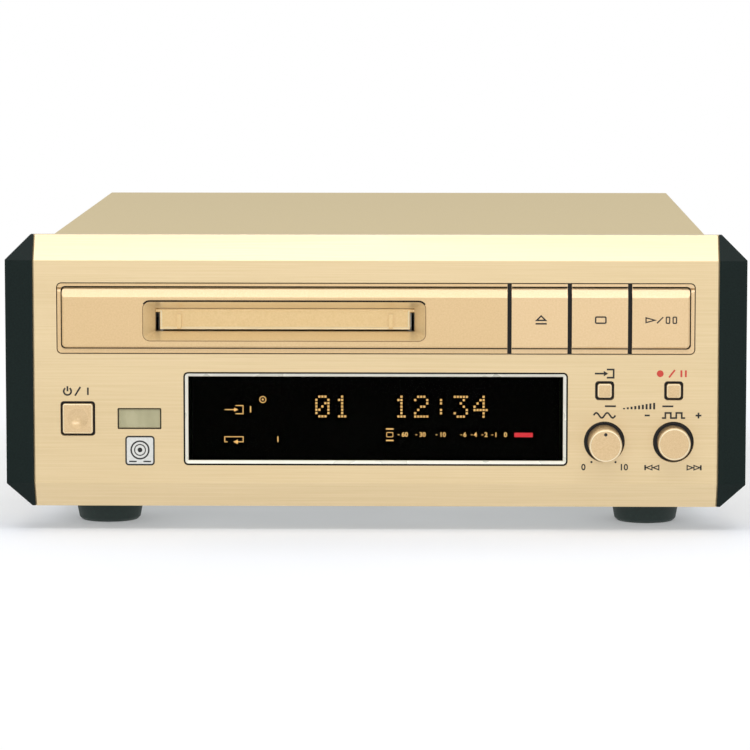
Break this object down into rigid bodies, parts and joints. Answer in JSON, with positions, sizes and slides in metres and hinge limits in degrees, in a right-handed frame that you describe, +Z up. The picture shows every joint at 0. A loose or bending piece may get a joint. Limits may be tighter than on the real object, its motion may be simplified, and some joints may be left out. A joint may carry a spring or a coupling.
{
  "type": "minidisc deck",
  "caption": "Half-width slot-loading minidisc recorder with display window, transport buttons, two knobs, phono and optical sockets and a working loading mechanism.",
  "frame": {"origin": "on the surface the feet stand on, in the middle of the overall width and length", "axes": "+X to the right seen from the front, +Y to the back, +Z up; the front faces -Y"},
  "size_m": [0.217, 0.286, 0.0877],
  "materials": {
    "panel_aluminium": "horizontally brushed, champagne anodised",
    "fascia_plastic": "satin champagne paint on moulded plastic",
    "knob_aluminium": "turned, champagne anodised",
    "cap_plastic": "green-black moulded",
    "black_plastic": "black moulded",
    "case_paint": "khaki champagne, fine texture paint",
    "zinc_steel": "zinc plated sheet",
    "black_steel": "black painted sheet",
    "smoked_window": "smoked acrylic, gloss",
    "tinted_window": "grey green translucent",
    "tube_glass": "display tube glass",
    "rubber": "dark moulded rubber",
    "screw_steel": "black chromate",
    "board_laminate": "green solder resist",
    "chip_plastic": "moulded",
    "capacitor_sleeve": "printed sleeve",
    "plated_metal": "nickel plated",
    "core_steel": "varnished laminations",
    "winding_tape": "taped winding",
    "sink_aluminium": "black or natural extrusion",
    "cable_film": "flat cable film",
    "gear_plastic": "natural acetal",
    "motor_steel": "plated motor can",
    "lens_glass": "coated lens",
    "white_plastic": "white moulded"
  },
  "bodies": {
    "housing": {"board_screws": "screw_steel", "board_sockets": "black_plastic", "cable_connectors": "white_plastic", "capacitors": "capacitor_sleeve", "case_screws": "screw_steel", "chassis": "zinc_steel", "chassis_screws": "screw_steel", "chips": "chip_plastic", "display_holder": "white_plastic", "display_tube": "tube_glass", "display_window": "smoked_window", "end_cap_left": "cap_plastic", "end_cap_right": "cap_plastic", "feet": "rubber", "flat_cable": "cable_film", "foot_screws": "screw_steel", "front_board": "board_laminate", "front_panel": "panel_aluminium", "guide_rods": "plated_metal", "heat_sink": "sink_aluminium", "inlet_pins": "plated_metal", "jack_block": "black_plastic", "jack_sleeves": "plated_metal", "main_board": "board_laminate", "mains_inlet": "black_plastic", "mechanism_base": "zinc_steel", "mechanism_dampers": "rubber", "mechanism_motors": "motor_steel", "mechanism_stands": "zinc_steel", "optical_dust_plugs": "black_plastic", "power_board": "board_laminate", "rear_panel": "black_steel", "remote_sensor": "chip_plastic", "remote_window": "tinted_window", "rotary_controls": "plated_metal", "slot_fascia": "fascia_plastic", "spindle_motor": "motor_steel", "sub_panel": "black_plastic", "tact_switches": "black_plastic", "top_cover": "case_paint", "transformer_core": "core_steel", "transformer_winding": "winding_tape"},
    "eject_button": {"eject_button": "fascia_plastic"},
    "stop_button": {"stop_button": "fascia_plastic"},
    "play_button": {"play_button": "fascia_plastic"},
    "standby_button": {"standby_button": "knob_aluminium"},
    "input_button": {"input_button": "knob_aluminium"},
    "record_button": {"record_button": "knob_aluminium"},
    "level_knob": {"level_knob": "knob_aluminium"},
    "jog_knob": {"jog_knob": "knob_aluminium"},
    "slot_flap": {"slot_flap": "fascia_plastic"},
    "turntable": {"turntable": "black_plastic"},
    "pickup_sled": {"pickup_sled": "black_plastic", "objective_lens": "lens_glass"},
    "head_arm": {"head_arm": "zinc_steel"},
    "lead_screw": {"lead_screw": "plated_metal"},
    "cartridge_holder": {"cartridge_holder": "zinc_steel"},
    "loading_slider": {"loading_slider": "gear_plastic"},
    "drive_gear": {"drive_gear": "gear_plastic"},
    "motor_pinion": {"motor_pinion": "gear_plastic"}
  },
  "joints": [
    {"name": "eject_press", "type": "slide", "parent": "housing", "child": "eject_button", "axis": [0, 1, 0], "range_m": [0, 0.0008], "stiffness_N_per_m": 400},
    {"name": "stop_press", "type": "slide", "parent": "housing", "child": "stop_button", "axis": [0, 1, 0], "range_m": [0, 0.0008], "stiffness_N_per_m": 400},
    {"name": "play_press", "type": "slide", "parent": "housing", "child": "play_button", "axis": [0, 1, 0], "range_m": [0, 0.0008], "stiffness_N_per_m": 400},
    {"name": "standby_press", "type": "slide", "parent": "housing", "child": "standby_button", "axis": [0, 1, 0], "range_m": [0, 0.0008], "stiffness_N_per_m": 400},
    {"name": "input_press", "type": "slide", "parent": "housing", "child": "input_button", "axis": [0, 1, 0], "range_m": [0, 0.0008], "stiffness_N_per_m": 400},
    {"name": "record_press", "type": "slide", "parent": "housing", "child": "record_button", "axis": [0, 1, 0], "range_m": [0, 0.0008], "stiffness_N_per_m": 400},
    {"name": "level_turn", "type": "hinge", "parent": "housing", "child": "level_knob", "pos_m": [0.0671, -0.133, 0.02728], "axis": [0, 1, 0], "range_deg": [-150, 150]},
    {"name": "jog_turn", "type": "hinge", "parent": "housing", "child": "jog_knob", "pos_m": [0.0873, -0.133, 0.02728], "axis": [0, 1, 0], "continuous": true},
    {"name": "flap_swing", "type": "hinge", "parent": "housing", "child": "slot_flap", "pos_m": [-0.0267, -0.1273, 0.0653], "axis": [1, 0, 0], "range_deg": [0, 85], "stiffness_Nm_per_rad": 0.001},
    {"name": "disc_spin", "type": "hinge", "parent": "housing", "child": "turntable", "pos_m": [-0.0267, -0.083, 0.04985], "axis": [0, 0, 1], "continuous": true},
    {"name": "loading", "type": "slide", "parent": "housing", "child": "loading_slider", "axis": [0, 1, 0], "range_m": [0, 0.012]},
    {"name": "cartridge_drop", "type": "slide", "parent": "housing", "child": "cartridge_holder", "axis": [0, 0, -1], "range_m": [0, 0.0055]},
    {"name": "drive_gear_spin", "type": "hinge", "parent": "housing", "child": "drive_gear", "pos_m": [0.0212, -0.073, 0.04685], "axis": [0, 0, 1], "range_deg": [-235, 5]},
    {"name": "motor_pinion_spin", "type": "hinge", "parent": "housing", "child": "motor_pinion", "pos_m": [0.02995, -0.073, 0.04685], "axis": [0, 0, 1], "range_deg": [-5, 505]},
    {"name": "sled_travel", "type": "slide", "parent": "housing", "child": "pickup_sled", "axis": [-1, 0, 0], "range_m": [0, 0.016]},
    {"name": "lead_screw_spin", "type": "hinge", "parent": "housing", "child": "lead_screw", "pos_m": [-0.0417, -0.064, 0.04335], "axis": [1, 0, 0], "range_deg": [-10, 1810]},
    {"name": "head_lower", "type": "hinge", "parent": "pickup_sled", "child": "head_arm", "pos_m": [-0.0417, -0.045, 0.06485], "axis": [1, 0, 0], "range_deg": [0, 7.5]}
  ],
  "couplings": [
    {"joint": "cartridge_drop", "follows": "loading", "ratio": 0.4583},
    {"joint": "drive_gear_spin", "follows": "loading", "rad_per_m": -333.33},
    {"joint": "motor_pinion_spin", "follows": "loading", "rad_per_m": 727.27},
    {"joint": "head_lower", "follows": "loading", "rad_per_m": 10.181},
    {"joint": "lead_screw_spin", "follows": "sled_travel", "rad_per_m": 1963.5}
  ]
}
